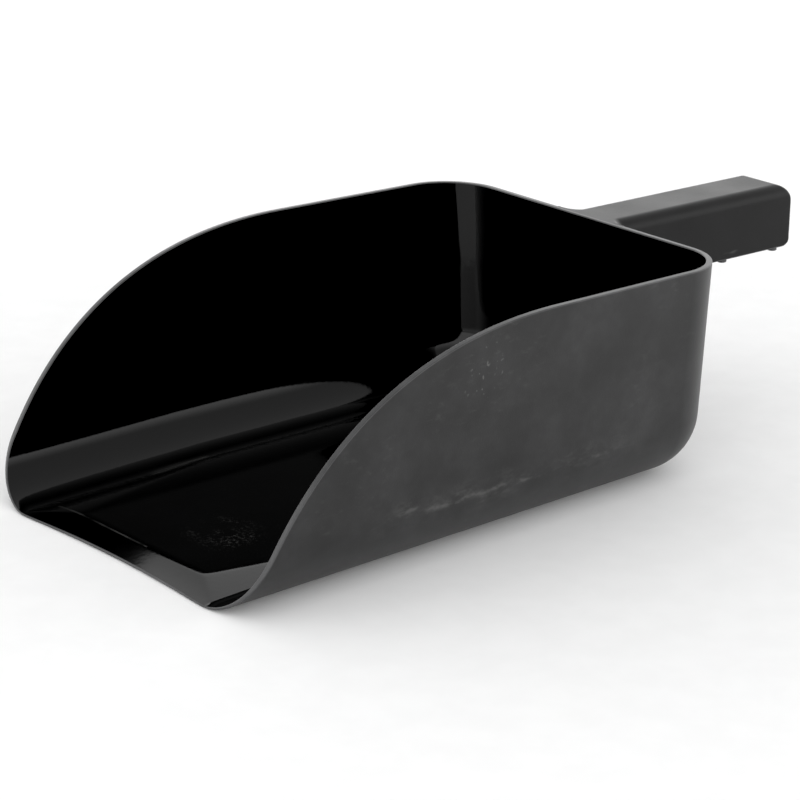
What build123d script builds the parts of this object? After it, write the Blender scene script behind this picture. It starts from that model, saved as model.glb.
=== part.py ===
from build123d import *
import math
import os

os.makedirs("parts", exist_ok=True)

# A one-piece moulded feed scoop, divided into the zones of its moulding. Millimetres, +Z up.
# The mouth faces -Y, the handle points to +Y, and the flat floor rests on z = 0.
# The origin is at the bottom centre of the whole scoop's box.

# ---- driving dimensions: whole scoop ----
overall_length = 340.0  # from the mouth's corners to the end of the handle
bowl_length = 236.0  # from the mouth's corners to the back wall's outer face, at the floor
rim_height = 85.5  # rim above the table, over the foot of the back wall
rim_half_width = 81.5  # outer half width there, at rim height
wall = 2.4  # thickness of every wall of the bowl
corner_radius = 25.0  # outer radius of the floor's edges and of the vertical back corners
side_draft = math.radians(4.0)  # side walls lean outwards
back_draft = math.radians(0.5)  # back wall leans backwards
mouth_flare = 0.019  # half width gained per length towards the mouth
rim_slope = 0.020  # height that the rim gains per length towards the mouth

# ---- driving dimensions: swept rim and front lip ----
sweep_start = 142.5  # distance behind the mouth where the straight rim starts to sweep down
sweep_reach = 118.0  # how far the sweep's first tangent reaches forwards
sweep_landing = 6.0  # how far the sweep's last tangent runs back along the floor
lip_setback = 2.7  # the front edge is hollow: its middle lies this far behind its corners
lip_crease = 14.0  # distance behind the mouth where the floor starts to thin
lip_thickness = 0.9  # floor thickness at the mouth

# ---- driving dimensions: handle ----
handle_half_width = 13.8  # at the top face
handle_depth = 26.4  # from the top face to the open lower edge
handle_wall = 2.4
handle_edge_radius = 5.5  # outer radius of the long top edges
handle_corner_radius = 2.0  # outer radius of the end's upright edges
handle_brow_radius = 7.5  # radius of the end's upper corner, in side view
handle_nose_radius = 5.0  # radius of the end's lower corner, in side view
least_radius = 0.4  # the hollow's smallest radius
handle_draft = math.radians(1.0)  # handle sides close in downwards
root_radius = 6.0  # concave radius between handle sides and back wall
root_top_radius = 0.8  # top edge radius where the handle meets the rim
rib_places = (271.0, 301.0)  # distance of each cross rib behind the mouth
rib_thickness = 1.6
rib_clearance = 5.0  # ribs stop this far above the handle's lower edge
pad_places = (301.0, 331.0)  # distance of each ejector pad behind the mouth
pad_radius = 2.0
pad_stand_out = 1.1  # how far the pads stand below the handle's lower edge
pad_height = 14.0

# ---- derived places ----
mouth_y = -overall_length / 2
back_y = mouth_y + bowl_length
end_y = mouth_y + overall_length
crease_y = mouth_y + lip_crease
root_start_y = (back_y + (rim_height + rim_slope * back_y) * math.tan(back_draft)) / (
    1 + rim_slope * math.tan(back_draft)
)  # where the back wall's outer face meets the rim line
root_end_y = root_start_y + root_radius
far = 400.0  # larger than the whole scoop
headroom = 40.0  # how far cutting tools run past what they cut


def side_x(y, z, inset):
    """Half width of the side wall's plane, moved inwards by inset along its normal."""
    lean = math.tan(side_draft)
    stretch = math.sqrt(1 + mouth_flare**2 + lean**2)
    return rim_half_width + mouth_flare * (back_y - y) - (rim_height - z) * lean - inset * stretch


def back_wall_y(z, inset):
    """Place of the back wall's plane, moved inwards by inset along its normal."""
    return back_y + z * math.tan(back_draft) - inset / math.cos(back_draft)


def rim_z(y):
    """Height of the straight part of the rim, which the handle's top face carries on."""
    return rim_height + rim_slope * (back_y - y)


core_y = back_wall_y(corner_radius, corner_radius)  # centre line of the back floor radius


def core_x(y):
    """Centre line of the side floor radii, where the flat floor ends."""
    return side_x(y, corner_radius, corner_radius)


def block(low, high):
    """A solid with six flat faces between two four-sided outlines."""
    faces = [Face(Wire.make_polygon(low)), Face(Wire.make_polygon(high))]
    for i in range(4):
        j = (i + 1) % 4
        faces.append(Face(Wire.make_polygon([low[i], low[j], high[j], high[i]])))
    return Solid(Shell(faces))


def keep_side(shape, origin, direction):
    """The part of shape that lies on the direction side of a plane."""
    return split(shape, bisect_by=Plane(origin=origin, z_dir=direction), keep=Keep.TOP)


# ---- bowl ----
def tub(inset):
    """The bowl's solid shape, its flat faces moved inwards by inset, running on past mouth and rim."""
    front = mouth_y - headroom
    top = rim_height + headroom

    def outline(z):
        back = back_wall_y(z, inset)
        return [
            (-side_x(front, z, inset), front, z),
            (side_x(front, z, inset), front, z),
            (side_x(back, z, inset), back, z),
            (-side_x(back, z, inset), back, z),
        ]

    body = block(outline(inset), outline(top))
    rounded = [
        edge
        for edge in body.edges()
        if edge.center().Z < top - 1 and edge.center().Y > front + 1
    ]
    return fillet(rounded, corner_radius - inset)


def under_rim():
    """Everything below the rim line, as seen from the side."""
    start_y = mouth_y + sweep_start
    start = (start_y, rim_z(start_y))
    reach = sweep_reach / math.hypot(1, rim_slope)
    back = end_y + headroom
    rim = Line((back, rim_z(back)), start)
    sweep = Bezier(
        start,
        (start_y - reach, rim_z(start_y - reach)),
        (mouth_y + sweep_landing, 0),
        (mouth_y, 0),
    )
    base = Polyline((mouth_y, 0), (mouth_y, -headroom), (back, -headroom), (back, rim_z(back)))
    return extrude(Plane.YZ * make_face(rim + sweep + base), amount=far, both=True)


def lip_hollow():
    """A round cutter that makes the front edge hollow between its corners."""
    half_chord = core_x(mouth_y)
    radius = (half_chord**2 + lip_setback**2) / (2 * lip_setback)
    return Pos(0, mouth_y + lip_setback - radius, 0) * Cylinder(radius, headroom)


def lip_bevel(inside):
    """The bowl's inside, tilted about the crease so that the floor thins towards the mouth."""
    angle = math.degrees(math.atan2(wall - lip_thickness, lip_crease))
    tilted = inside.rotate(Axis((0, crease_y, wall), (1, 0, 0)), angle)
    return keep_side(tilted, (0, crease_y, 0), (0, -1, 0))


def bowl_shell():
    inside = tub(wall)
    shell = (tub(0) - inside) & under_rim()
    shell -= lip_bevel(inside)
    return shell - lip_hollow()


def bowl_zones():
    """The bowl, cut along the lines where its flat and round parts meet."""
    shell = bowl_shell()
    toe = math.atan(mouth_flare)
    zones = {}
    for side, sign in (("left", -1), ("right", 1)):
        outwards = (sign * math.cos(toe), math.sin(toe), 0)
        edge = (sign * core_x(0), 0, 0)
        strip = keep_side(shell, edge, outwards)
        shell = keep_side(shell, edge, (-outwards[0], -outwards[1], 0))
        flank = keep_side(strip, (0, core_y, 0), (0, -1, 0))
        zones[side + "_back_corner"] = keep_side(strip, (0, core_y, 0), (0, 1, 0))
        zones[side + "_floor_radius"] = keep_side(flank, (0, 0, corner_radius), (0, 0, -1))
        zones[side + "_wall"] = keep_side(flank, (0, 0, corner_radius), (0, 0, 1))
    back = keep_side(shell, (0, core_y, 0), (0, 1, 0))
    floor = keep_side(shell, (0, core_y, 0), (0, -1, 0))
    zones["back_floor_radius"] = keep_side(back, (0, 0, corner_radius), (0, 0, -1))
    zones["back_wall"] = keep_side(back, (0, 0, corner_radius), (0, 0, 1))
    zones["front_lip"] = keep_side(floor, (0, crease_y, 0), (0, -1, 0))
    zones["bowl_floor"] = keep_side(floor, (0, crease_y, 0), (0, 1, 0))
    return zones


# ---- handle ----
def handle_x(y, z, inset):
    """Half width of the handle at a height, inset from its outer face."""
    return handle_half_width - (rim_z(y) - z) * math.tan(handle_draft) - inset


def handle_body(inset, depth):
    """The handle's solid shape, its faces moved inwards by inset, down to depth below its top face."""
    front = back_y
    back = end_y - inset

    def outline(below_top):
        corners = []
        for sign, y in ((-1, front), (1, front), (1, back), (-1, back)):
            z = rim_z(y) - below_top
            corners.append((sign * handle_x(y, z, inset), y, z))
        return corners

    body = block(outline(depth), outline(inset))
    upright = [
        edge
        for edge in body.edges()
        if edge.center().Y > back - 1 and abs(edge.center().X) > handle_half_width / 2
    ]
    body = fillet(upright, max(handle_corner_radius - inset, least_radius))
    long_top = [
        edge
        for edge in body.edges()
        if front + 1 < edge.center().Y < back - handle_corner_radius
        and edge.center().Z > rim_z(edge.center().Y) - depth + 1
    ]
    body = fillet(long_top, handle_edge_radius - inset)
    return body - brow_cutter(inset)


def corner_cutter(y, z, radius, upwards):
    """Removes what lies outside a round end corner at (y, z), seen from the side. Upwards is 1 or -1."""
    size = radius + headroom
    corner = Pos(0, y - radius + size / 2, z + upwards * (size / 2 - radius)) * Box(far, size, size)
    round_part = Pos(0, y - radius, z - upwards * radius) * Rot(0, 90, 0) * Cylinder(radius, far)
    return corner - round_part


def brow_cutter(inset):
    """Rounds the end's upper corner."""
    y = end_y - inset
    return corner_cutter(y, rim_z(y) - inset, handle_brow_radius - inset, 1)


def nose_cutter():
    """Rounds the end's lower corner."""
    return corner_cutter(end_y, rim_z(end_y) - handle_depth, handle_nose_radius, -1)


def root_section(angle):
    """Outline of the flared root. At angle 0 it is the handle's own, and at 90 degrees it lies on the back wall."""
    flare = root_radius * (1 - math.cos(angle))
    y = root_end_y - root_radius * math.sin(angle)
    edge_radius = root_top_radius + (handle_edge_radius - root_top_radius) * math.cos(angle)
    top_half = handle_half_width + flare
    low_half = top_half - handle_depth * math.tan(handle_draft)
    outline = Polyline(
        (-low_half, -handle_depth),
        (low_half, -handle_depth),
        (top_half, 0),
        (-top_half, 0),
        close=True,
    )
    section = make_face(outline)
    section = fillet(section.vertices().group_by(Axis.Y)[-1], edge_radius)
    lean = back_draft * angle / (math.pi / 2)
    facing = (0, math.cos(lean), -math.sin(lean))
    return Plane(origin=(0, y, rim_z(y)), x_dir=(-1, 0, 0), z_dir=facing) * section


def handle_root(hollow):
    """The flared joint between back wall and handle, hollow like the handle."""
    steps = 6
    sections = [root_section(math.radians(90 * i / steps)) for i in range(steps + 1)]
    return loft(sections) - hollow


def handle_zones():
    hollow = handle_body(handle_wall, handle_depth + headroom)
    shell = handle_body(0, handle_depth) - hollow - nose_cutter()
    shell = keep_side(shell, (0, root_end_y, 0), (0, 1, 0))
    flat_half = handle_half_width - handle_edge_radius
    rear_y = end_y - handle_brow_radius
    zones = {"handle_root": handle_root(hollow)}
    zones["handle_end"] = keep_side(shell, (0, rear_y, 0), (0, 1, 0))
    rest = keep_side(shell, (0, rear_y, 0), (0, -1, 0))
    for side, sign in (("left", -1), ("right", 1)):
        edge = (sign * flat_half, 0, 0)
        zones["handle_" + side + "_side"] = keep_side(rest, edge, (sign, 0, 0))
        rest = keep_side(rest, edge, (-sign, 0, 0))
    zones["handle_top"] = rest
    zones["handle_ribs"] = handle_ribs(hollow)
    pads = handle_ejector_pads()
    for name in ("handle_left_side", "handle_right_side", "handle_end", "handle_ribs"):
        pads -= zones[name]
    zones["handle_ejector_pads"] = pads
    return zones


def handle_ribs(hollow):
    """Cross ribs that fill the hollow's section and stop short of its open side."""
    ribs = Part()
    for place in rib_places:
        y = mouth_y + place
        low = rim_z(y) - handle_depth + rib_clearance
        slab = Pos(0, y, low + headroom / 2) * Box(far, rib_thickness, headroom)
        ribs += hollow & slab
    return ribs


def handle_ejector_pads():
    """Round pads along both lower edges, where ejector pins push on the moulding."""
    pads = Part()
    for place in pad_places:
        y = mouth_y + place
        low = rim_z(y) - handle_depth
        x = handle_x(y, low, 0) - pad_radius
        pin = Cylinder(pad_radius, pad_height, align=(Align.CENTER, Align.CENTER, Align.MIN))
        for sign in (-1, 1):
            pads += Pos(sign * x, y, low - pad_stand_out) * pin
    return pads


for name, zone in {**bowl_zones(), **handle_zones()}.items():
    export_step(zone, "parts/" + name + ".step")
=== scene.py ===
import math

import bpy
import numpy as np
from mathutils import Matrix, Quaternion, Vector


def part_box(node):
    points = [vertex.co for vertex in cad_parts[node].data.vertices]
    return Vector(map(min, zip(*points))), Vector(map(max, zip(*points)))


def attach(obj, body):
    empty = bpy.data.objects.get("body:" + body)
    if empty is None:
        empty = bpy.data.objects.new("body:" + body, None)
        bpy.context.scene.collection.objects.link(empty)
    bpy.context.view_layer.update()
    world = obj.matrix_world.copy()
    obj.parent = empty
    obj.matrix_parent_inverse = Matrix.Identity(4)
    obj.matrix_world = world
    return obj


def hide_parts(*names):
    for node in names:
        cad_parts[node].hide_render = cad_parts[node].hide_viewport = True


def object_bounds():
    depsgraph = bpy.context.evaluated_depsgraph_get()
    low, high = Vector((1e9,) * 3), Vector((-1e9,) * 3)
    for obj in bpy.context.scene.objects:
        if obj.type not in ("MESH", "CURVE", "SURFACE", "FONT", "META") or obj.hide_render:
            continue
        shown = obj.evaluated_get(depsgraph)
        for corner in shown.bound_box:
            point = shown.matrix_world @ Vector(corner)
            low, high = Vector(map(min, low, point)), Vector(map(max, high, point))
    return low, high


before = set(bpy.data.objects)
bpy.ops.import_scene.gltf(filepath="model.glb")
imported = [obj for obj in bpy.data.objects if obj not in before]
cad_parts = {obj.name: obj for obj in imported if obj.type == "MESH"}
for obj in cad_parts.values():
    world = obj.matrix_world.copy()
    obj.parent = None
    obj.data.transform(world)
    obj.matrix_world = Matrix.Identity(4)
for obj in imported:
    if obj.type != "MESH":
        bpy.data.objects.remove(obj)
cad_low, cad_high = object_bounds()

# A one-piece moulded feed scoop, in metres, in the frame of the CAD model: the mouth faces -Y, the handle
# points to +Y, and the floor lies on z = 0. Each zone of the moulding is its own closed mesh. The zones are
# cut from one continuous surface, a core swollen by the corner radius, and every face corner carries that
# surface's exact normal, so that no seam shows between them.

MM = 0.001

# ---- places read from the frame ----
mouth_y = cad_low.y
end_y = cad_high.y
crease_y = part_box("bowl_floor")[0].y  # where the floor starts to thin towards the mouth
core_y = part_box("bowl_floor")[1].y  # where the flat floor ends at the back
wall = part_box("bowl_floor")[1].z
corner_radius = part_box("right_floor_radius")[1].z
mouth_core_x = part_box("front_lip")[1].x  # where the flat floor ends at the sides, at the mouth
root_end_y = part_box("handle_top")[0].y

# ---- the design's other dimensions ----
bowl_length = 236.0 * MM
rim_height = 85.5 * MM
side_lean = math.tan(math.radians(4.0))
back_lean = math.tan(math.radians(0.5))
mouth_flare = 0.019
rim_slope = 0.020
sweep_start = 142.5 * MM
sweep_reach = 118.0 * MM
sweep_landing = 6.0 * MM
lip_setback = 2.7 * MM
lip_thickness = 0.7 * MM
rim_round = 0.45 * MM
floor_swell = 0.5 * MM  # how much thicker the middle of the floor is than the walls
side_crease_x = 38.0 * MM  # where the lip's crease turns back along the floor's side
side_crease_spread = 0.235  # how far that side crease moves outwards per length towards the back
side_slope = 0.085  # fall of the floor outside it
corner_softness = 0.8 * MM  # smoothing of the mouth's two corners
crease_softness = 0.06 * MM  # rounding of the floor's creases

handle_half_width = 13.8 * MM
handle_depth = 26.4 * MM
handle_wall = 2.4 * MM
handle_edge_radius = 5.5 * MM
handle_corner_radius = 2.0 * MM
handle_brow_radius = 7.5 * MM
least_radius = 0.4 * MM
handle_lean = math.tan(math.radians(1.0))
nose_radius = 5.0 * MM
root_radius = 6.0 * MM
root_top_radius = 0.8 * MM
root_overlap = 1.0 * MM  # how far the root's top runs forwards over the rim
lower_round = 0.5 * MM  # rounding of the handle's lower edges
rib_places = (271.0 * MM, 301.0 * MM)
rib_thickness = 1.6 * MM
rib_clearance = 5.0 * MM
rib_overlap = 0.3 * MM
pad_places = (301.0 * MM, 331.0 * MM)
pad_radius = 2.0 * MM
pad_stand_out = 1.1 * MM
pad_height = 14.0 * MM
pad_round = 0.4 * MM

back_y = mouth_y + bowl_length

# ---- mesh density ----
ARC_STEPS = 30  # round the large radii
FLOOR_STEPS = 40  # from the middle of the floor to its side
LENGTH_STEPS = 130  # along the bowl
RISE_STEPS = 22  # up the walls
LIP_STEPS = 12
EDGE_STEPS = 5  # round each rounded edge
HANDLE_ARC_STEPS = 12
HANDLE_STEPS = 40
GRIP_STEPS = 14

OUTSIDE, INSIDE, EDGE = 0, 1, 2  # which of a piece's materials a face takes


def unit(v):
    v = np.asarray(v, float)
    return v / np.linalg.norm(v, axis=-1, keepdims=True)


def mix(a, b, share):
    return a + (b - a) * share


def turn(a, b, share):
    """Unit vectors that lie share of the way round from a to b, which may be single vectors or arrays."""
    a, b, share = np.broadcast_arrays(a, b, np.asarray(share, float)[..., None])
    angle = np.arccos(np.clip(np.sum(a * b, -1, keepdims=True), -1, 1))
    return (np.sin((1 - share) * angle) * a + np.sin(share * angle) * b) / np.sin(angle)


# ---------------------------------------------------------------- mesh building


class Piece:
    """A closed mesh gathered from grids of points, with the surface's exact normal at every corner."""

    def __init__(self):
        self.corners, self.normals, self.materials = [], [], []

    def quads(self, corners, normals, material):
        """Adds four-sided faces, each turned to look the way its normals do."""
        facing = np.cross(corners[:, 2] - corners[:, 0], corners[:, 3] - corners[:, 1])
        wrong = np.sum(facing * normals.sum(1), -1) < 0
        corners[wrong] = corners[wrong][:, ::-1]
        normals[wrong] = normals[wrong][:, ::-1]
        self.corners.append(corners)
        self.normals.append(normals)
        self.materials.extend([material] * len(corners))

    def grid(self, points, normals, material):
        around = [(slice(None, -1), slice(None, -1)), (slice(None, -1), slice(1, None))]
        around += [(slice(1, None), slice(1, None)), (slice(1, None), slice(None, -1))]
        corners = np.stack([points[place] for place in around], 2).reshape(-1, 4, 3)
        facing = np.stack([normals[place] for place in around], 2).reshape(-1, 4, 3)
        self.quads(corners.copy(), facing.copy(), material)

    def cap(self, row, other_row, next_row):
        """A flat end between two rows of points, looking away from the first one's neighbour in the piece."""
        corners = np.stack([row[:-1], row[1:], other_row[1:], other_row[:-1]], 1)
        facing = np.cross(corners[:, 2] - corners[:, 0], corners[:, 3] - corners[:, 1])
        size = np.linalg.norm(facing, axis=-1, keepdims=True)
        away = row - next_row
        outwards = np.sum(facing * (away[:-1] + away[1:]))
        facing = math.copysign(1, outwards) * facing / np.maximum(size, 1e-14)
        real = size[:, 0] > 1e-14
        self.quads(corners[real], np.repeat(facing[real, None], 4, 1), EDGE)

    def build(self, name):
        corners = np.concatenate(self.corners)
        normals = np.concatenate(self.normals)
        grain = 1e-8
        keys = np.round(corners.reshape(-1, 3) / grain).astype(np.int64)
        _, first, index = np.unique(keys, axis=0, return_index=True, return_inverse=True)
        points = corners.reshape(-1, 3)[first]
        faces, kept_normals, materials = [], [], []
        for ids, facing, material in zip(index.reshape(-1, 4).tolist(), normals, self.materials):
            kept = [k for k in range(4) if ids[k] not in ids[:k]]
            if len(kept) > 2:
                faces.append([ids[k] for k in kept])
                kept_normals.extend(facing[kept].tolist())
                materials.append(material)
        mesh = bpy.data.meshes.new(name)
        mesh.from_pydata(points.tolist(), [], faces)
        mesh.polygons.foreach_set("material_index", materials)
        mesh.polygons.foreach_set("use_smooth", [True] * len(faces))
        mesh.normals_split_custom_set(kept_normals)
        made = bpy.data.objects.new(name, mesh)
        bpy.context.scene.collection.objects.link(made)
        return made


def tangents(points):
    """Directions along a line of unevenly spaced points that starts and ends on the plane x = 0."""
    flip = np.array([-1, 1, 1])
    extended = np.concatenate([points[1:2] * flip, points, points[-2:-1] * flip])
    step = np.diff(extended, axis=0)
    weighted = step / np.sum(step**2, -1, keepdims=True)
    return unit(weighted[1:] + weighted[:-1])


def grid_directions(points, axis):
    """Directions along a grid's rows or columns, each the mean of those to the two neighbours."""
    step = np.diff(points, axis=axis)
    step = step / np.maximum(np.linalg.norm(step, axis=-1, keepdims=True), 1e-12)
    first, last = np.take(step, [0], axis), np.take(step, [-1], axis)
    return np.concatenate([first, step], axis) + np.concatenate([step, last], axis)


def grid_normals(points, roughly):
    """Normals of a grid of points from the points themselves, on the side that rough normals give."""
    facing = np.cross(grid_directions(points, 0), grid_directions(points, 1))
    facing = np.where(np.sum(facing * roughly, -1, keepdims=True) < 0, -facing, facing)
    return unit(facing)


def rounded_edge(outer, outer_normals, inner, inner_normals, outwards, radius):
    """Rows of points and normals that run from a wall's outer face, round its edge, to its inner face."""
    radius = np.broadcast_to(radius, outer.shape[:1])[:, None]
    angles = np.linspace(0, math.pi / 2, EDGE_STEPS + 1)
    rows, normals = [], []
    sides = ((outer, outer_normals, angles), (inner, inner_normals, angles[::-1]))
    for base, normal, steps in sides:
        for a in steps:
            rows.append(base + radius * (outwards * math.sin(a) - normal * (1 - math.cos(a))))
            normals.append(unit(normal * math.cos(a) + outwards * math.sin(a)))
    return np.array(rows), np.array(normals)


def shell(outer, inner, end_rim=None, start_rim=None, materials=(OUTSIDE, INSIDE)):
    """A closed piece between two faces, each given as points and normals. Its first and last rows may carry
    a rounded rim, and every other side is a flat end where it meets its neighbour."""
    piece = Piece()
    piece.grid(*outer, materials[0])
    piece.grid(*inner, materials[1])
    for row, next_row, rim in ((0, 1, start_rim), (-1, -2, end_rim)):
        if rim is None:
            piece.cap(outer[0][row], inner[0][row], outer[0][next_row])
        else:
            piece.grid(*rim, EDGE)
            half = len(rim[0]) // 2
            for column, next_column in ((0, 1), (-1, -2)):
                line = rim[0][:, column]
                piece.cap(line[:half], line[::-1][:half], rim[0][:half, next_column])
    for column, next_column in ((0, 1), (-1, -2)):
        piece.cap(outer[0][:, column], inner[0][:, column], outer[0][:, next_column])
    return piece


def mirrored(face):
    """The same points and normals on the other side of the plane x = 0."""
    return None if face is None else tuple(part * np.array([-1, 1, 1]) for part in face)


def whole(half):
    """Both halves of a face whose first column lies on x = 0."""
    flip = np.array([-1, 1, 1])
    return tuple(np.concatenate([part[:, :0:-1] * flip, part], 1) for part in half)


def columns(rim, first, last):
    return tuple(part[:, first : last + 1] for part in rim)


# ---------------------------------------------------------------- the bowl's surface

FLOOR_NORMAL = unit((0, 0, -1))
SIDE_NORMAL = unit((1, mouth_flare, -side_lean))
BACK_NORMAL = unit((0, 1, -back_lean))


def side_x(y, z, inset=0.0):
    """Half width of the side wall's outer plane, moved inwards by inset along its normal."""
    stretch = math.sqrt(1 + mouth_flare**2 + side_lean**2)
    at_core = mouth_core_x + mouth_flare * (mouth_y - y)
    return at_core + (corner_radius - inset) * stretch + (z - corner_radius) * side_lean


def back_wall_y(z, inset=0.0):
    return back_y + z * back_lean - inset * math.hypot(1, back_lean)


def rim_z(y):
    """Height of the straight rim, which the handle's top face carries on."""
    return rim_height + rim_slope * (back_y - y)


SIDE_ANGLE = math.acos(float(np.dot(FLOOR_NORMAL, SIDE_NORMAL)))
FOOT_S = corner_radius * SIDE_ANGLE  # length of the floor radius's arc, up to the flat of the side wall
FOOT_Z = corner_radius * (1 + SIDE_NORMAL[2])  # the height there
RISE = 1 / math.hypot(1, side_lean)  # height gained per length up the flat of the side wall


def section_length(z):
    """Distance up the side's section, from the edge of the flat floor to a height."""
    z = np.asarray(z, float)
    on_arc = corner_radius * np.arccos(np.clip(1 - z / corner_radius, -1, 1))
    return np.where(z < FOOT_Z, on_arc, FOOT_S + (z - FOOT_Z) / RISE)


def side_surface(y, s):
    """Outer points and normals of the right side, at places along the bowl and distances up its section."""
    y, s = np.broadcast_arrays(np.asarray(y, float), np.asarray(s, float))
    normal = turn(FLOOR_NORMAL, SIDE_NORMAL, np.clip(s / FOOT_S, 0, 1))
    on_arc_z = corner_radius * (1 + normal[..., 2])
    z = np.where(s < FOOT_S, on_arc_z, FOOT_Z + (s - FOOT_S) * RISE)
    y_at_core = y - corner_radius * normal[..., 1]
    on_arc_x = mouth_core_x + mouth_flare * (mouth_y - y_at_core) + corner_radius * normal[..., 0]
    x = np.where(s < FOOT_S, on_arc_x, side_x(y, z))
    return np.stack([x, y, z], -1), normal


def upright_core(z):
    """The core line of the right back corner, at core heights."""
    y = back_wall_y(z, corner_radius)
    return np.stack(np.broadcast_arrays(side_x(y, z, corner_radius), y, z), -1)


def side_back_y(s):
    """Where the right side meets the back corner, at distances up the side's section."""
    s = np.asarray(s, float)
    normal = turn(FLOOR_NORMAL, SIDE_NORMAL, np.clip(s / FOOT_S, 0, 1))
    z_at_core = corner_radius + np.maximum(s - FOOT_S, 0) * RISE
    return back_wall_y(z_at_core, corner_radius) + corner_radius * normal[..., 1]


def rim_core_z(normal):
    """Core height at which a corner or back wall surface with this normal reaches the rim."""
    out = corner_radius * normal
    lowest_core_y = back_y - corner_radius * math.hypot(1, back_lean)
    reached = rim_height + rim_slope * (back_y - lowest_core_y - out[..., 1]) - out[..., 2]
    return reached / (1 + rim_slope * back_lean)


def soft_most(a, b):
    """The larger of two values, rounded where they are equal, and the first one's part in it."""
    gap = a - b
    root = np.sqrt(gap**2 + 4 * crease_softness**2)
    return (a + b + root) / 2, (1 + gap / root) / 2


def floor_drop(points):
    """How far the floor's inner face lies below its middle, and the changes of that along x and y. It slopes
    down to the lip in front, and, near the front, to both sides."""
    x, y = np.abs(points[..., 0]), points[..., 1]
    core_x = mouth_core_x + mouth_flare * (mouth_y - y)
    lip_length = crease_y - mouth_y
    deepest = wall + floor_swell - lip_thickness
    share = (crease_y - y) / lip_length
    front = deepest * share * (1.2 - 0.2 * share)
    front_change = -deepest * (1.2 - 0.4 * share) / lip_length
    side = side_slope * (np.minimum(x, core_x) - side_crease_x - side_crease_spread * (y - crease_y))
    either, front_part = soft_most(front, side)
    drop, part = soft_most(either, np.zeros_like(either))
    along = part * (front_part * front_change - (1 - front_part) * side_slope * side_crease_spread)
    across = part * (1 - front_part) * side_slope * np.where(x < core_x, np.sign(points[..., 0]), 0)
    return drop, across, along


def thickness(points, normals):
    """Wall thickness, and its changes along x on the flat floor, along y, and up the section."""
    drop, across, along = floor_drop(points)
    down = np.clip(-normals[..., 2], 0, 1)
    turning = np.where(down > 1e-9 + abs(SIDE_NORMAL[2]), np.abs(normals[..., 0]) / corner_radius, 0)
    thinning = drop - floor_swell
    return wall - thinning * down, -across * down, -along * down, thinning * turning


def inner_face(outer, normals):
    """The face behind an outer one, with the normals of the sloping floor."""
    thick, across, along, up = thickness(outer, normals)
    up_section = np.stack([-normals[..., 2], 0 * thick, normals[..., 0]], -1)
    facing = -normals - along[..., None] * np.array([0, 1, 0]) - up[..., None] * up_section
    facing = facing - across[..., None] * np.array([1, 0, 0])
    return outer - normals * thick[..., None], unit(facing)


# ---------------------------------------------------------------- the rim


def sweep_line(count=4000):
    """The rim in side view, from the mouth's corner up to the start of its straight part."""
    start_y = mouth_y + sweep_start
    reach = sweep_reach / math.hypot(1, rim_slope)
    a = np.array([mouth_y, 0.0])
    b = np.array([mouth_y + sweep_landing, 0.0])
    c = np.array([start_y - reach, rim_z(start_y - reach)])
    d = np.array([start_y, rim_z(start_y)])
    u = np.linspace(0, 1, count)[:, None]
    return (1 - u) ** 3 * a + 3 * (1 - u) ** 2 * u * b + 3 * (1 - u) * u * u * c + u**3 * d


SWEEP = sweep_line()
SWEEP_S = section_length(SWEEP[:, 1])


def mouth_edge(across):
    """How far back the mouth's edge lies, by the distance across half the floor and on up the section."""
    across = np.asarray(across, float)
    radius = (mouth_core_x**2 + lip_setback**2) / (2 * lip_setback)
    floor_part = mouth_y + lip_setback - radius + np.sqrt(radius**2 - across**2)
    s = across - mouth_core_x
    near = 40
    slope = (SWEEP[near, 0] - SWEEP[0, 0]) / (SWEEP_S[near] - SWEEP_S[0])
    side_part = np.where(s < 0, mouth_y + slope * s, np.interp(s, SWEEP_S, SWEEP[:, 0]))
    gap = floor_part - side_part
    return (floor_part + side_part + np.sqrt(gap**2 + corner_softness**2)) / 2


def rim_s(y):
    """Distance up the side's section at which the rim lies, along the bowl."""
    z = np.where(y < SWEEP[-1, 0], np.interp(y, SWEEP[:, 0], SWEEP[:, 1]), rim_z(y))
    return section_length(z)


# Places across half the floor, closer together at its side.
ACROSS = 1 - (1 - np.linspace(0, 1, FLOOR_STEPS + 1)) ** 1.5
ARC_S = FOOT_S * np.linspace(0, 1, ARC_STEPS + 1) ** 1.4  # places up the floor radius, closer at the floor
ARC_SHARE = ARC_S / FOOT_S
ALONG = np.linspace(0, 1, LENGTH_STEPS + 1)
CORNER = np.linspace(0, 1, ARC_STEPS + 1)
RISE_SHARE = np.linspace(0, 1, RISE_STEPS + 1)


def rim_line():
    """The bowl's outer rim, from the middle of the mouth round to the middle of the back: points, surface
    normals, and the places in the line where each zone ends."""
    y = mouth_edge(ACROSS * mouth_core_x)
    x = ACROSS * (mouth_core_x + mouth_flare * (mouth_y - y))
    front = np.stack([x, y, 0 * y], -1), np.broadcast_to(FLOOR_NORMAL, y.shape + (3,))
    low = side_surface(mouth_edge(mouth_core_x + ARC_S[1:]), ARC_S[1:])
    corner_normals = turn(SIDE_NORMAL, BACK_NORMAL, CORNER)
    corner_points = upright_core(rim_core_z(corner_normals)) + corner_radius * corner_normals
    tip_y = mouth_edge(mouth_core_x + FOOT_S)
    y = mix(tip_y, corner_points[0, 1], ALONG[1:-1])
    side = side_surface(y, rim_s(y))
    back_points = corner_points[-1] * np.stack([1 - ACROSS[1:], 0 * ACROSS[1:] + 1, 0 * ACROSS[1:] + 1], -1)
    back = back_points, np.broadcast_to(BACK_NORMAL, back_points.shape)
    parts = [front, low, side, (corner_points, corner_normals), back]
    ends = np.cumsum([len(p[0]) for p in parts]) - 1
    ends[2] += 1  # the side wall ends on the corner's first point
    return np.concatenate([p[0] for p in parts]), np.concatenate([p[1] for p in parts]), ends


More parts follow.
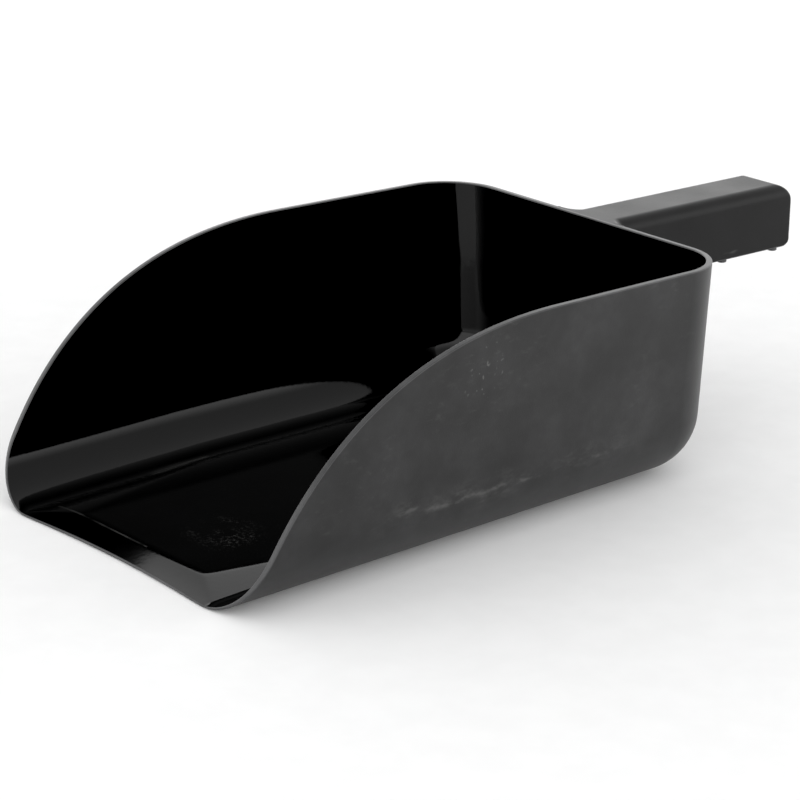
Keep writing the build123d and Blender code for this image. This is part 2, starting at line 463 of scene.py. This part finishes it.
def bowl_rim():
    """The rounded rim of the right half, as rows round the edge and columns along it."""
    points, normals, ends = rim_line()
    outwards = unit(np.cross(normals, tangents(points)))
    radius = np.minimum(rim_round, 0.45 * thickness(points, normals)[0])
    base = points - outwards * radius[:, None]
    inner = base - normals * thickness(base, normals)[0][:, None]
    return rounded_edge(base, normals, inner, -normals, outwards, radius), ends


def end_on(face, rim, inner=False):
    """Makes a face's last row the rim's first row, or its last one on the inside."""
    face[0][-1] = rim[0][-1 if inner else 0]
    if not inner:
        face[1][-1] = rim[1][0]
    return face


def walled(outer, rim=None):
    """A zone of the bowl: its outer face, the inner face behind it, and its stretch of the rim."""
    outer = [np.array(part) for part in outer]
    inner = list(inner_face(*outer))
    if rim is not None:
        end_on(outer, rim)
        end_on(inner, rim, inner=True)
    return outer, inner, rim


# ---------------------------------------------------------------- the bowl's zones


def floor_sheet(rows_y, across_share):
    """Part of the flat floor, with rows from back to front."""
    y = np.broadcast_to(rows_y, np.broadcast_shapes(rows_y.shape, across_share.shape))
    x = across_share * (mouth_core_x + mouth_flare * (mouth_y - y))
    return np.stack([x, y, 0 * y], -1), np.broadcast_to(FLOOR_NORMAL, y.shape + (3,))


def bowl_pieces():
    """Every zone of the bowl, by the name of its CAD node."""
    rim, ends = bowl_rim()
    front_end, low_end, side_end, corner_end, back_end = ends
    pieces = {}

    rows = mix(core_y, crease_y, np.linspace(0, 1, LENGTH_STEPS // 2 + 1))[:, None]
    outer, inner, _ = walled(whole(floor_sheet(rows, ACROSS[None])))
    pieces["bowl_floor"] = shell(outer, inner)

    lip_rim = whole(columns(rim, 0, front_end))
    edge_y = rim[0][0, : front_end + 1, 1]
    rows = mix(crease_y, edge_y[None], np.linspace(0, 1, LIP_STEPS + 1)[:, None])
    pieces["front_lip"] = shell(*walled(whole(floor_sheet(rows, ACROSS[None])), lip_rim))

    low_rim = columns(rim, front_end, low_end)
    y = mix(side_back_y(ARC_S)[None], low_rim[0][0, :, 1][None], ALONG[:, None])
    low = walled(side_surface(y, ARC_S[None]), low_rim)

    side_rim = columns(rim, low_end, side_end)
    rim_y = side_rim[0][0, :, 1]
    top_s = section_length(side_rim[0][0, :, 2])
    share = (rim_y - rim_y[0]) / (rim_y[-1] - rim_y[0])
    foot_y = mix(rim_y[0], side_back_y(FOOT_S), share)
    back_top = side_back_y(mix(FOOT_S, top_s[-1], RISE_SHARE))
    y = mix(foot_y[None], rim_y[None], RISE_SHARE[:, None])
    y[:, -1] = back_top
    s = mix(np.minimum(FOOT_S, top_s)[None], top_s[None], RISE_SHARE[:, None])
    side = walled(side_surface(y, s), side_rim)
    for face, row in ((side[0], 0), (side[1], -1)):
        face[0][:, 0] = side_rim[0][row, 0]  # the wall starts in a point of the rim

    corner_rim = columns(rim, side_end, corner_end)
    around = turn(SIDE_NORMAL, BACK_NORMAL, CORNER)[None]
    ball_normals = turn(FLOOR_NORMAL, around, ARC_SHARE[:, None])
    ball_points = upright_core(corner_radius) + corner_radius * ball_normals
    top = rim_core_z(around[0]) - rim_round
    heights = mix(corner_radius, top[None], RISE_SHARE[1:, None])
    above = upright_core(heights) + corner_radius * around
    above_normals = np.broadcast_to(around, above.shape)
    corner_face = np.concatenate([ball_points, above]), np.concatenate([ball_normals, above_normals])
    corner = walled(corner_face, corner_rim)

    back_rim = whole(tuple(part[:, ::-1] for part in columns(rim, corner_end, back_end)))
    across = (1 - ACROSS)[::-1][None, :, None] ** np.array([1, 0, 0])
    arc_normals = turn(FLOOR_NORMAL, BACK_NORMAL, ARC_SHARE)[:, None]
    arc_normals = np.broadcast_to(arc_normals, (len(ARC_S), ACROSS.size, 3))
    foot = upright_core(corner_radius) * across + corner_radius * arc_normals
    outer, inner, _ = walled(whole((foot, arc_normals)))
    pieces["back_floor_radius"] = shell(outer, inner)

    heights = mix(corner_radius, rim_core_z(BACK_NORMAL) - rim_round, RISE_SHARE)
    flat = upright_core(heights)[:, None] * across + corner_radius * BACK_NORMAL
    flat_normals = np.broadcast_to(BACK_NORMAL, flat.shape)
    pieces["back_wall"] = shell(*walled(whole((flat, flat_normals)), back_rim))

    for name, (outer, inner, edge) in (("floor_radius", low), ("wall", side), ("back_corner", corner)):
        pieces["right_" + name] = shell(outer, inner, edge)
        pieces["left_" + name] = shell(mirrored(outer), mirrored(inner), mirrored(edge))
    return pieces


# ---------------------------------------------------------------- the handle

TOP_NORMAL = unit((0, rim_slope, 1))
GRIP_NORMAL = unit((1, -rim_slope * handle_lean, -handle_lean))
END_NORMAL = unit((0, 1, 0))
DOWN = np.array([0.0, 0.0, -1.0])


def grip_x(y, z, inset=0.0):
    """Half width of the handle at a height, moved inwards from its outer face."""
    return handle_half_width - (rim_z(y) - z) * handle_lean - inset


def lower_edge_z(y):
    """Height of the handle's open lower edge, which rises in a round nose at the end."""
    into_nose = np.clip((y - (end_y - nose_radius)) / nose_radius, 0, 1)
    return rim_z(y) - handle_depth + nose_radius * (1 - np.sqrt(1 - into_nose**2))


GRIP_ARC = np.maximum(np.linspace(0, math.pi / 2, HANDLE_ARC_STEPS + 1), 1e-4)  # round the long top edges
GRIP_DROP = np.linspace(0, 1, GRIP_STEPS + 1)[1:] ** 1.4  # from there down to the lower edge


def end_outline(depth, place, inset=0.0):
    """A point of the handle's right half and the surface's normal there, at a depth below the top face.
    Places 0 to 1 run along the side of the end zone, 1 to 2 round its upright corner and 2 to 3 along the
    end to its middle. Inset moves the point inwards."""
    side_radius = handle_edge_radius - inset
    brow_radius = handle_brow_radius - inset
    side_cos = np.clip(1 - (depth - inset) / side_radius, 0, 1)
    brow_cos = np.clip(1 - (depth - inset) / brow_radius, 0, 1)
    side_sin = np.sqrt(np.maximum(1 - side_cos**2, 1e-8))
    brow_sin = np.sqrt(np.maximum(1 - brow_cos**2, 1e-8))
    radius = max(handle_corner_radius - inset, least_radius)
    corner = radius * brow_sin * (1.5 - 0.5 * brow_sin**2)
    corner_growth = 1.5 * radius * brow_cos**3 / (brow_radius * brow_sin)
    half = handle_half_width - inset - depth * handle_lean - side_radius * (1 - side_sin)
    end = end_y - inset - brow_radius * (1 - brow_sin)
    along = np.clip(place, 0, 1)
    angle = np.clip(place - 1, 0, 1) * math.pi / 2
    across = 1 - np.clip(place - 2, 0, 1)
    y = mix(end_y - handle_brow_radius, end - corner, along) + corner * np.sin(angle)
    x = (half - corner + corner * np.cos(angle)) * across
    side_slope = side_cos / side_sin - handle_lean
    end_slope = brow_cos / brow_sin
    rise = side_slope * np.cos(angle) + end_slope * np.sin(angle)
    rise = rise + corner_growth * (1 - np.cos(angle) - np.sin(angle))
    normal = np.stack([np.cos(angle) + 0 * rise, np.sin(angle) + rim_slope * rise, rise], -1)
    return np.stack([x, y, rim_z(y) - depth], -1), unit(normal)


def side_outline(depth, y, inset=0.0):
    """The same for the straight part of the handle, at places along it."""
    radius = handle_edge_radius - inset
    cos = np.clip(1 - (depth - inset) / radius, 0, 1)
    sin = np.sqrt(np.maximum(1 - cos**2, 1e-8))
    x = handle_half_width - inset - depth * handle_lean - radius * (1 - sin)
    rise = cos / sin - handle_lean
    normal = np.stack(np.broadcast_arrays(1.0, rim_slope * rise, rise), -1)
    return np.stack(np.broadcast_arrays(x, y, rim_z(y) - depth), -1), unit(normal)


def lower_depth(points):
    """Depth of the handle's open lower edge below its top face."""
    return rim_z(points[..., 1]) - lower_edge_z(points[..., 1])


def grip_zone(outline, places, level):
    """Outer face, inner face and lower rim of a stretch of the handle, with columns along it."""
    faces = []
    for inset in (0.0, handle_wall):
        radius = handle_edge_radius - inset
        arc = inset + radius * (1 - np.cos(GRIP_ARC[:, None]))
        lowest = lower_depth(outline(handle_depth, places, inset)[0]) - lower_round
        depth = np.concatenate([arc + 0 * places, mix(handle_edge_radius, lowest[None], GRIP_DROP[:, None])])
        points, normals = outline(depth, places[None], inset)
        faces.append([points, normals * (1 if inset == 0 else -1)])
    outer, inner = faces
    rim = rounded_edge(outer[0][-1], level, inner[0][-1], -level, DOWN, lower_round)
    rim[1][1:-1, 1:] = grid_normals(*rim)[1:-1, 1:]
    return outer, inner, rim


def grip_faces():
    """The right half of the handle: its side, and its end with the upright corner."""
    y = mix(root_end_y, end_y - handle_brow_radius, np.linspace(0, 1, HANDLE_STEPS + 1))
    side = grip_zone(side_outline, y, np.broadcast_to(GRIP_NORMAL, y.shape + (3,)))
    part = np.linspace(0, 1, HANDLE_ARC_STEPS + 1)
    places = np.concatenate([part, 1 + part[1:], 2 + part[1:]])
    level = turn(GRIP_NORMAL, END_NORMAL, np.clip(places - 1, 0, 1))
    return side, grip_zone(end_outline, places, level)


def flared_sections():
    """The root's cross sections, from the handle's own to the one on the back wall: rows run down the right
    half from the top's middle to the lower edge. Returns outer face, inner face and lower rim."""
    angles = np.linspace(0, math.pi / 2, HANDLE_ARC_STEPS + 1)[None]
    flare = root_radius * (1 - np.cos(angles))
    radius = root_top_radius + (handle_edge_radius - root_top_radius) * np.cos(angles)
    y = root_end_y - root_radius * np.sin(angles)
    turned = angles / (math.pi / 2)
    level = turn(GRIP_NORMAL, BACK_NORMAL, turned)

    def leaned(x, below):
        lean = back_lean * turned
        return np.stack(np.broadcast_arrays(x, y - below * lean, rim_z(y) - below), -1)

    across = np.linspace(0, 1, 9)[:-1, None]
    middle_x = handle_half_width + flare - radius
    top = leaned(across * middle_x, 0 * angles)
    top_normals = np.broadcast_to(TOP_NORMAL, top.shape)
    arc = np.linspace(0, math.pi / 2, HANDLE_ARC_STEPS + 1)[:, None]
    edge = leaned(middle_x + radius * np.sin(arc), radius * (1 - np.cos(arc)))
    edge_normals = turn(TOP_NORMAL, level, arc / (math.pi / 2))
    down = np.linspace(0, 1, 9)[1:, None]
    below = mix(radius, handle_depth - lower_round, down)
    side = leaned(handle_half_width + flare - (below - radius) * handle_lean, below)
    side_normals = np.broadcast_to(level, side.shape)
    outer = [np.concatenate([top, edge, side]), np.concatenate([top_normals, edge_normals, side_normals])]
    numeric = grid_normals(*outer)
    outer[1][1:, 1:-1] = numeric[1:, 1:-1]
    outer[1][1 : len(top) + len(edge), -1] = numeric[1 : len(top) + len(edge), -1]

    hollow_radius = handle_edge_radius - handle_wall
    hollow_middle = handle_half_width - handle_edge_radius
    roof = leaned(across * hollow_middle, handle_wall + 0 * angles)
    bend_x = hollow_middle + hollow_radius * np.sin(arc)
    bend = leaned(bend_x, handle_edge_radius - hollow_radius * np.cos(arc))
    bend_normals = turn(TOP_NORMAL, GRIP_NORMAL, arc / (math.pi / 2))
    below = mix(handle_edge_radius, handle_depth - lower_round, down)
    inner_x = handle_half_width - handle_wall - (below - handle_edge_radius) * handle_lean
    cheek = leaned(inner_x, below + 0 * angles)
    spread = np.ones(angles.shape + (1,))
    roof_normals = np.broadcast_to(TOP_NORMAL, roof.shape)
    cheek_normals = np.broadcast_to(GRIP_NORMAL, cheek.shape)
    parts = (roof_normals, bend_normals * spread, cheek_normals)
    inner = [np.concatenate([roof, bend, cheek]), -np.concatenate(parts)]
    rim = rounded_edge(outer[0][-1], outer[1][-1], inner[0][-1], inner[1][-1], DOWN, lower_round)
    return outer, inner, rim


def handle_root():
    """The flared joint, with both halves in one grid whose rows run from one lower edge to the other."""
    outer, inner, rim = flared_sections()
    flip = np.array([-1, 1, 1])

    def over(face):
        return [np.concatenate([part[:0:-1] * flip, part]) for part in face]

    return shell(over(outer), over(inner), rim, mirrored(rim))


def rim_bridge():
    """Fills the groove between the rim's rounded edge and the root's top."""
    start_y = root_end_y - root_radius
    half = handle_half_width + root_radius - root_top_radius
    x = np.linspace(-half, half, 15)[None]
    y = mix(start_y + 0.2 * MM, start_y - root_overlap, np.linspace(0, 1, 4))[:, None]
    x, y = np.broadcast_arrays(x, y)
    top = np.stack([x, y, rim_z(y)], -1)
    low = top - np.array([0, 0, 1.2 * MM])
    up = np.broadcast_to(TOP_NORMAL, top.shape)
    return shell((top, up), (low, -up))


def handle_top():
    y = mix(root_end_y, end_y - handle_brow_radius, np.linspace(0, 1, HANDLE_STEPS + 1))[None]
    x = np.linspace(0, handle_half_width - handle_edge_radius, 9)[:, None]
    points = np.stack(np.broadcast_arrays(x, y, rim_z(y)), -1)
    normals = np.broadcast_to(TOP_NORMAL, points.shape)
    half = np.swapaxes(points, 0, 1), np.swapaxes(normals, 0, 1)
    outer = whole(half)
    return shell(outer, (outer[0] - outer[1] * handle_wall, -outer[1]))


def cross_rib(place):
    """A rib across the handle's hollow, let slightly into its walls."""
    y = mouth_y + place
    core_z = rim_z(y) - handle_edge_radius
    radius = handle_edge_radius - handle_wall + rib_overlap
    arc = np.linspace(0, math.pi / 2, HANDLE_ARC_STEPS + 1)
    middle_x = grip_x(y, core_z, handle_edge_radius)
    low_z = rim_z(y) - handle_depth + rib_clearance
    below = mix(core_z, low_z + 0.35 * MM, np.linspace(0, 1, 9)[1:])
    z = np.concatenate([core_z + radius * np.cos(arc), below])
    straight = grip_x(y, z, handle_wall - rib_overlap)
    half = np.where(z > core_z, middle_x + np.sqrt(np.maximum(radius**2 - (z - core_z) ** 2, 0)), straight)
    x = half[:, None] * np.linspace(-1, 1, 17)[None]
    face = np.stack([x, 0 * x + y + rib_thickness / 2, 0 * x + z[:, None]], -1)
    front = np.broadcast_to(END_NORMAL, face.shape)
    behind = face - front * rib_thickness
    edge = rounded_edge(face[-1], front[-1], behind[-1], -front[-1], DOWN, 0.35 * MM)
    return shell((face, front), (behind, -front), edge, materials=(INSIDE, INSIDE))


def ejector_pad(place, sign):
    """A round pin with softened ends, as a closed surface of revolution."""
    y = mouth_y + place
    low_z = rim_z(y) - handle_depth
    x = sign * (grip_x(y, low_z) - pad_radius)
    arc = np.linspace(0, math.pi / 2, EDGE_STEPS + 1)
    inset = pad_radius - pad_round
    radii = np.concatenate([[0], inset + pad_round * np.sin(arc), inset + pad_round * np.cos(arc), [0]])
    low_part = pad_round * (1 - np.cos(arc))
    high_part = pad_height - pad_round * (1 - np.sin(arc))
    z = low_z - pad_stand_out + np.concatenate([[0], low_part, high_part, [pad_height]])
    tilt = np.concatenate([[-math.pi / 2], arc - math.pi / 2, arc, [math.pi / 2]])
    turn_angle = np.linspace(0, 2 * math.pi, 33)[None]
    radii, z, tilt = radii[:, None], z[:, None], tilt[:, None]
    points = np.stack(
        [x + radii * np.cos(turn_angle), y + radii * np.sin(turn_angle), z + 0 * turn_angle], -1
    )
    points[:, -1] = points[:, 0]
    level = np.cos(tilt)
    normals = np.stack(
        [level * np.cos(turn_angle), level * np.sin(turn_angle), np.sin(tilt) + 0 * turn_angle], -1
    )
    piece = Piece()
    piece.grid(points, normals, EDGE)
    return piece


def joined(*parts):
    """Several closed meshes as one piece."""
    piece = Piece()
    for part in parts:
        piece.corners += part.corners
        piece.normals += part.normals
        piece.materials += part.materials
    return piece


def handle_pieces():
    """Every zone of the handle, by the name of its CAD node."""
    side, end = grip_faces()
    end = [whole(tuple(part[:, ::-1] for part in face)) for face in end]
    return {
        "handle_right_side": shell(*side),
        "handle_left_side": shell(*[mirrored(face) for face in side]),
        "handle_end": shell(*end),
        "handle_top": handle_top(),
        "handle_root": joined(handle_root(), rim_bridge()),
        "handle_ribs": joined(*[cross_rib(place) for place in rib_places]),
        "handle_ejector_pads": joined(*[ejector_pad(p, s) for p in pad_places for s in (-1, 1)]),
    }


# ---------------------------------------------------------------- materials


def node(tree, kind, inputs=None, **settings):
    """Adds a node, with its inputs given by name or number as constants or as other nodes' outputs."""
    made = tree.nodes.new(kind)
    for name, value in settings.items():
        setattr(made, name, value)
    for name, value in (inputs or {}).items():
        if isinstance(value, bpy.types.NodeSocket):
            tree.links.new(value, made.inputs[name])
        else:
            made.inputs[name].default_value = value
    return made


def noise(tree, place, scale, detail=3.0, roughness=0.55, stretch=(1,) * 3, turned=(0,) * 3, shift=(0,) * 3):
    """Noise in the object's own space, scale in cells per metre."""
    inputs = {"Vector": place, "Scale": stretch, "Rotation": turned, "Location": shift}
    mapped = node(tree, "ShaderNodeMapping", inputs)
    made = node(
        tree,
        "ShaderNodeTexNoise",
        {"Vector": mapped.outputs[0], "Scale": scale, "Detail": detail, "Roughness": roughness},
    )
    return made.outputs[0]


def ramp(tree, value, low, high, from_value=0.0, to_value=1.0):
    """Turns a value between low and high into a smooth step."""
    made = node(
        tree,
        "ShaderNodeMapRange",
        {"Value": value, "From Min": low, "From Max": high, "To Min": from_value, "To Max": to_value},
        interpolation_type="SMOOTHSTEP",
    )
    return made.outputs[0]


def calc(tree, operation, a, b=0.0):
    return node(tree, "ShaderNodeMath", {0: a, 1: b}, operation=operation).outputs[0]


def product(tree, *factors):
    made = factors[0]
    for factor in factors[1:]:
        made = calc(tree, "MULTIPLY", made, factor)
    return made


def most(tree, *values):
    made = values[0]
    for value in values[1:]:
        made = calc(tree, "MAXIMUM", made, value)
    return made


def outside_box(tree, place, centre, half):
    """Distance from a box to a point of the surface."""
    gap = node(tree, "ShaderNodeVectorMath", {0: place, 1: centre}, operation="SUBTRACT").outputs[0]
    gap = node(tree, "ShaderNodeVectorMath", {0: gap}, operation="ABSOLUTE").outputs[0]
    gap = node(tree, "ShaderNodeVectorMath", {0: gap, 1: half}, operation="SUBTRACT").outputs[0]
    gap = node(tree, "ShaderNodeVectorMath", {0: gap, 1: (0, 0, 0)}, operation="MAXIMUM").outputs[0]
    return node(tree, "ShaderNodeVectorMath", {0: gap}, operation="LENGTH").outputs["Value"]


def patch(tree, place, centre, half, soft):
    """1 inside a box on the surface, fading to 0 outside it."""
    return ramp(tree, outside_box(tree, place, centre, half), 0.0, soft, 1.0, 0.0)


def fine_marks(tree, place):
    """Sparse short hair scratches all over."""
    hair = noise(tree, place, 340, 2, 0.5, stretch=(1, 0.2, 1), turned=(0.3, 0.2, 0.5))
    where = ramp(tree, noise(tree, place, 22, 3, shift=(5, 2, 7)), 0.54, 0.7)
    return product(tree, ramp(tree, hair, 0.66, 0.76), where, 0.25)


def outside_marks(tree, place):
    """Where the outside is scuffed: along the start of the floor radius, and in a speckled patch high up."""
    uneven = noise(tree, place, 260, 5, 0.7, stretch=(1, 0.4, 1), shift=(4, 4, 4))
    wander = noise(tree, place, 24, 4, 0.6, stretch=(0, 1, 0), shift=(6, 1, 3))
    height = node(tree, "ShaderNodeSeparateXYZ", {0: place}).outputs[2]
    off_line = calc(tree, "SUBTRACT", height, ramp(tree, wander, 0.3, 0.7, 20.0 * MM, 25.0 * MM))
    line = ramp(tree, calc(tree, "ABSOLUTE", off_line), 0.1 * MM, 1.6 * MM, 1.0, 0.0)
    along = patch(tree, place, (0, -48.0 * MM, 0), (1, 42.0 * MM, 1), 34.0 * MM)
    scuff = product(tree, line, along, ramp(tree, uneven, 0.42, 0.66), 0.14)
    haze = ramp(tree, calc(tree, "ABSOLUTE", off_line), 1.0 * MM, 9.0 * MM, 1.0, 0.0)
    haze = product(tree, haze, along, ramp(tree, uneven, 0.45, 0.75), 0.1)
    dots = ramp(tree, noise(tree, place, 560, 1, 0.4, shift=(1, 8, 3)), 0.68, 0.76)
    cluster = patch(tree, place, (0, -62.0 * MM, 70.0 * MM), (1, 3.0 * MM, 4.0 * MM), 12.0 * MM)
    dots = product(tree, dots, cluster, 0.22)
    rubbed = ramp(tree, noise(tree, place, 380, 4, 0.7, stretch=(1, 0.45, 1), shift=(7, 3, 9)), 0.54, 0.74)
    where = ramp(tree, noise(tree, place, 22, 2, 0.5, shift=(2, 5, 1)), 0.4, 0.65)
    rubbed = product(tree, rubbed, where, 0.045)
    return most(tree, scuff, haze, dots, rubbed, product(tree, fine_marks(tree, place), 0.2))


def inside_dust_and_highlight(tree, place):
    """Dust inside: a speckled patch on the floor behind the lip and a faint streak beside it. The lip's
    crease carries a painted highlight, a thin pale line, with some rubbing."""
    dots = ramp(tree, noise(tree, place, 700, 3, 0.7, shift=(1, 8, 3)), 0.5, 0.68)
    cluster = patch(tree, place, (12.0 * MM, -126.0 * MM, wall), (5.0 * MM, 4.0 * MM, 2.0 * MM), 13.0 * MM)
    thin = noise(tree, place, 500, 2, 0.5, stretch=(1, 0.05, 1))
    streak = patch(tree, place, (-56.0 * MM, -97.0 * MM, wall), (0.5 * MM, 12.0 * MM, 2.0 * MM), 3.0 * MM)
    streak = product(tree, streak, ramp(tree, thin, 0.45, 0.65), 0.07)
    # painted highlight: a thin pale line along the lip's crease, with some rubbing
    crease = patch(tree, place, (-24.0 * MM, crease_y, wall), (28.0 * MM, 0.1 * MM, 2.0 * MM), 0.5 * MM)
    crease = product(tree, crease, ramp(tree, noise(tree, place, 90, 3), 0.3, 0.65), 0.14)
    gathered = ramp(tree, noise(tree, place, 130, 3, 0.6, shift=(8, 6, 2)), 0.38, 0.6)
    return most(tree, product(tree, dots, cluster, gathered, 0.16), streak, crease)


def plastic(name, tone, mottling, roughness, specular, grain, grain_scale, marks):
    """Black moulded plastic: cloudy pigment, moulded grain and pale marks where it is scuffed or dusty, and
    on the inside a painted highlight along the lip's crease.
    """
    material = bpy.data.materials.new(name)
    material.use_nodes = True
    tree = material.node_tree
    tree.nodes.clear()
    place = node(tree, "ShaderNodeTexCoord").outputs["Object"]
    cloud = noise(tree, place, 26, 5, 0.6)
    fine_cloud = noise(tree, place, 170, 3, 0.6, shift=(3, 1, 2))
    pebble = noise(tree, place, grain_scale, 2, 0.6)
    pale = marks(tree, place)

    shade = ramp(tree, cloud, 0.3, 0.7, 1 - mottling, 1 + mottling)
    shade = product(tree, shade, ramp(tree, fine_cloud, 0.3, 0.7, 1 - mottling / 4, 1 + mottling / 4))
    pigment = {0: (tone, tone, tone * 1.03), "Scale": shade}
    dark = node(tree, "ShaderNodeVectorMath", pigment, operation="SCALE")
    colour = node(
        tree, "ShaderNodeMix", {0: pale, 6: dark.outputs[0], 7: (0.3, 0.3, 0.29, 1)}, data_type="RGBA"
    )
    rough = ramp(tree, cloud, 0.3, 0.7, roughness * 0.92, roughness * 1.08)
    rough = calc(tree, "ADD", rough, calc(tree, "MULTIPLY", pale, 0.25))
    bump = node(tree, "ShaderNodeBump", {"Height": pebble, "Strength": 1.0, "Distance": grain})
    shader = node(
        tree,
        "ShaderNodeBsdfPrincipled",
        {
            "Base Color": colour.outputs[2],
            "Roughness": rough,
            "Normal": bump.outputs[0],
            "IOR": 1.5,
            "Specular IOR Level": specular,
        },
    )
    node(tree, "ShaderNodeOutputMaterial", {"Surface": shader.outputs[0]})
    return material


def dress(pieces, materials):
    for name, piece in pieces.items():
        made = piece.build(name + "_moulding")
        for material in materials:
            made.data.materials.append(material)
        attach(made, "root")
        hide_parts(name)


# ---------------------------------------------------------------- floor, light and camera


def add_floor():
    """A large, pale, faintly mottled sheet just under the scoop."""
    half, steps = 6.0, 24
    line = np.linspace(-half, half, steps + 1)
    points = [(x, y, -0.0002) for y in line for x in line]
    faces = []
    for i in range(steps):
        for j in range(steps):
            a = i * (steps + 1) + j
            faces.append((a, a + 1, a + steps + 2, a + steps + 1))
    mesh = bpy.data.meshes.new("studio_floor")
    mesh.from_pydata(points, [], faces)
    floor = bpy.data.objects.new("studio_floor", mesh)
    bpy.context.scene.collection.objects.link(floor)
    material = bpy.data.materials.new("pale_paper")
    material.use_nodes = True
    tree = material.node_tree
    tree.nodes.clear()
    place = node(tree, "ShaderNodeTexCoord").outputs["Object"]
    tone = ramp(tree, noise(tree, place, 60, 3), 0.3, 0.7, 0.94, 0.96)
    colour = node(tree, "ShaderNodeCombineColor", {0: tone, 1: tone, 2: tone})
    shader = node(
        tree,
        "ShaderNodeBsdfPrincipled",
        {
            "Base Color": colour.outputs[0],
            "Roughness": 0.9,
            "Specular IOR Level": 0.1,
        },
    )
    node(tree, "ShaderNodeOutputMaterial", {"Surface": shader.outputs[0]})
    mesh.materials.append(material)


def add_light():
    """A soft white studio, the same for every kind of ray: pale walls, and a ceiling a little dimmer."""
    wall_glow, ceiling_glow = 2.1, 0.8
    wall_top, ceiling_edge = 0.35, 0.6  # sines of the elevations where one fades into the other
    world = bpy.data.worlds.new("studio")
    world.use_nodes = True
    tree = world.node_tree
    tree.nodes.clear()
    direction = node(tree, "ShaderNodeTexCoord").outputs["Generated"]
    rise = node(tree, "ShaderNodeSeparateXYZ", {0: direction}).outputs[2]
    strength = ramp(tree, rise, wall_top, ceiling_edge, wall_glow, ceiling_glow)
    background = node(tree, "ShaderNodeBackground", {"Color": (1, 1, 1, 1), "Strength": strength})
    node(tree, "ShaderNodeOutputWorld", {"Surface": background.outputs[0]})
    bpy.context.scene.world = world


def add_camera():
    azimuth, elevation, roll = math.radians(49.88), math.radians(19.378), math.radians(0.08)
    target = Vector((-1.47 * MM, -31.41 * MM, 29.45 * MM))
    distance = 1.1617
    back = Vector(
        (
            math.sin(azimuth) * math.cos(elevation),
            -math.cos(azimuth) * math.cos(elevation),
            math.sin(elevation),
        )
    )
    data = bpy.data.cameras.new("camera")
    data.sensor_width = 36
    data.lens = 135.64
    data.clip_start = 0.05
    data.clip_end = 50
    camera = bpy.data.objects.new("camera", data)
    camera.location = target + back * distance
    facing = back.to_track_quat("Z", "Y") @ Quaternion((0, 0, 1), roll)
    camera.rotation_euler = facing.to_euler()
    bpy.context.scene.collection.objects.link(camera)
    bpy.context.scene.camera = camera


satin = plastic(
    "satin_outside",
    tone=0.009, mottling=0.8, roughness=0.42, specular=0.48,
    grain=0.03 * MM, grain_scale=1800, marks=outside_marks,
)
# a darker copy of the outside's plastic: its lower tone is painted shade that darkens the handle's sides
grip = plastic(
    "satin_grip_shaded",
    tone=0.004, mottling=0.4, roughness=0.4, specular=0.22,
    grain=0.03 * MM, grain_scale=1800, marks=fine_marks,
)
gloss = plastic(
    "gloss_inside",
    tone=0.0012, mottling=0.3, roughness=0.07, specular=0.28,
    grain=0.01 * MM, grain_scale=420, marks=inside_dust_and_highlight,
)
# rims, rounded edges, pin ends and cut ends take a paler tone than the faces
edge = plastic(
    "pale_edge",
    tone=0.04, mottling=0.4, roughness=0.4, specular=0.5,
    grain=0.03 * MM, grain_scale=1500, marks=fine_marks,
)

dress(bowl_pieces(), (satin, gloss, edge))
dress(handle_pieces(), (grip, grip, edge))
add_floor()
add_light()
add_camera()
view = bpy.context.scene.view_settings
view.view_transform = "Standard"
view.use_curve_mapping = True
view.curve_mapping.black_level = (0.0035, 0.0035, 0.0035)  # deepens the blacks

bpy.context.view_layer.update()
